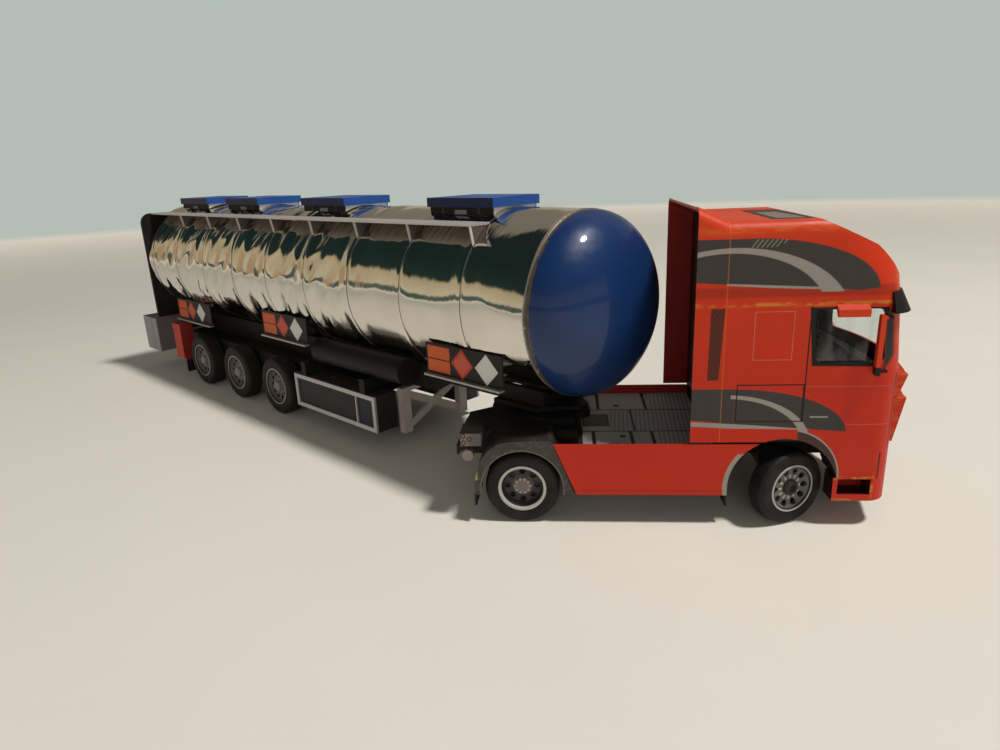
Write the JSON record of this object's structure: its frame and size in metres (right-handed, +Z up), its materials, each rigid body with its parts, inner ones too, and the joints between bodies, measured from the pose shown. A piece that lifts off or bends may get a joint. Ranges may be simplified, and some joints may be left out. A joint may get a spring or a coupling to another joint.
{
  "type": "card scale model of an articulated tanker truck",
  "caption": "Card model of an articulated tanker truck: high-roof cab-over tractor and a foil-covered tank semi-trailer that turns on its kingpin, with steering front wheels and rolling axles.",
  "frame": {"origin": "middle of the bounding box, on the surface that the wheels stand on", "axes": "+X towards the front of the tractor, +Y to the tractor's left, +Z up"},
  "size_m": [0.3134, 0.2138, 0.0865],
  "materials": {
    "black_card": "matt black printed card",
    "board_print": "printed card, black frame with orange and white fields",
    "cab_red": "semi-gloss printed card, red-orange with a dark band and a pale stripe",
    "chassis_grey": "matt printed card",
    "clear_film": "thin clear film",
    "deck_print": "printed card, light grey panels",
    "dome_blue": "glossy deep blue",
    "fender_brown": "matt printed card",
    "hatch_white": "matt white card",
    "interior_dark": "matt dark card",
    "lamp_pink": "printed card lamp",
    "leg_tan": "matt tan card",
    "lid_blue": "semi-gloss blue card",
    "locker_print": "printed card, dark pane in a pale frame",
    "post_red": "printed card, red",
    "rear_print": "printed card, light grey",
    "rim_pale": "matt pale grey printed card",
    "tank_foil": "mirror foil over card, lightly wrinkled",
    "trailer_grey": "matt grey-brown card",
    "tyre_black": "matt black card ring",
    "walkway_grey": "matt grey card with pale edges"
  },
  "bodies": {
    "tractor": {"tractor_chassis": "chassis_grey", "chassis_deck": "deck_print", "rear_deck": "deck_print", "skirt_right": "cab_red", "skirt_left": "cab_red", "fender_right": "fender_brown", "fender_left": "fender_brown", "fifth_wheel": "black_card", "tail_lamps": "lamp_pink", "mud_flaps": "black_card", "front_axle": "chassis_grey", "arch_liners": "black_card", "cab_side_right": "cab_red", "cab_side_left": "cab_red", "cab_front": "cab_red", "cab_roof": "cab_red", "cab_rear_wall": "black_card", "cab_floor": "interior_dark", "window_film": "clear_film", "collar_right": "cab_red", "collar_left": "cab_red", "bumper": "cab_red", "step_right": "cab_red", "step_left": "cab_red", "sun_visor": "black_card", "mirror_right": "black_card", "mirror_left": "black_card", "dashboard": "interior_dark", "seats": "interior_dark"},
    "trailer": {"tank_barrel": "tank_foil", "tank_dome": "dome_blue", "rear_bulkhead": "black_card", "walkway": "walkway_grey", "hatch_boxes": "hatch_white", "hatch_lids": "lid_blue", "trailer_frame": "trailer_grey", "skid_plate": "trailer_grey", "landing_legs": "leg_tan", "locker_right": "locker_print", "locker_left": "locker_print", "hazard_boards_right": "board_print", "hazard_boards_left": "board_print", "hose_tube_right": "black_card", "hose_tube_left": "black_card", "rear_box": "rear_print", "rear_posts": "post_red"},
    "front_wheel_right": {"front_tyre_right": "tyre_black", "front_rim_right": "rim_pale"},
    "knuckle_right": {"knuckle_right": "chassis_grey"},
    "front_wheel_left": {"front_tyre_left": "tyre_black", "front_rim_left": "rim_pale"},
    "knuckle_left": {"knuckle_left": "chassis_grey"},
    "drive_wheels": {"drive_tyres": "tyre_black", "drive_axle": "rim_pale"},
    "trailer_wheels_1": {"trailer_tyres_1": "tyre_black", "trailer_axle_1": "rim_pale"},
    "trailer_wheels_2": {"trailer_tyres_2": "tyre_black", "trailer_axle_2": "rim_pale"},
    "trailer_wheels_3": {"trailer_tyres_3": "tyre_black", "trailer_axle_3": "rim_pale"}
  },
  "joints": [
    {"name": "kingpin", "type": "hinge", "parent": "tractor", "child": "trailer", "pos_m": [0.07087, -0.07858, 0.0249], "axis": [0, 0, 1], "range_deg": [-42, 117]},
    {"name": "steer_right", "type": "hinge", "parent": "tractor", "child": "knuckle_right", "pos_m": [0.12357, -0.09618, 0.0102], "axis": [0, 0, 1], "range_deg": [-57, 7]},
    {"name": "steer_left", "type": "hinge", "parent": "tractor", "child": "knuckle_left", "pos_m": [0.12357, -0.06098, 0.0102], "axis": [0, 0, 1], "range_deg": [-57, 7]},
    {"name": "front_spin_right", "type": "hinge", "parent": "knuckle_right", "child": "front_wheel_right", "pos_m": [0.12357, -0.09618, 0.0102], "axis": [-0.4226, 0.9063, 0], "continuous": true},
    {"name": "front_spin_left", "type": "hinge", "parent": "knuckle_left", "child": "front_wheel_left", "pos_m": [0.12357, -0.06098, 0.0102], "axis": [-0.4226, 0.9063, 0], "continuous": true},
    {"name": "drive_spin", "type": "hinge", "parent": "tractor", "child": "drive_wheels", "pos_m": [0.05507, -0.07858, 0.0102], "axis": [0, 1, 0], "continuous": true},
    {"name": "trailer_spin_1", "type": "hinge", "parent": "trailer", "child": "trailer_wheels_1", "pos_m": [-0.03684, 0.00527, 0.0119], "axis": [0.6143, 0.7891, 0], "continuous": true},
    {"name": "trailer_spin_2", "type": "hinge", "parent": "trailer", "child": "trailer_wheels_2", "pos_m": [-0.06406, 0.02646, 0.0119], "axis": [0.6143, 0.7891, 0], "continuous": true},
    {"name": "trailer_spin_3", "type": "hinge", "parent": "trailer", "child": "trailer_wheels_3", "pos_m": [-0.09129, 0.04765, 0.0119], "axis": [0.6143, 0.7891, 0], "continuous": true}
  ],
  "couplings": [
    {"joint": "steer_left", "follows": "steer_right", "ratio": 1}
  ]
}
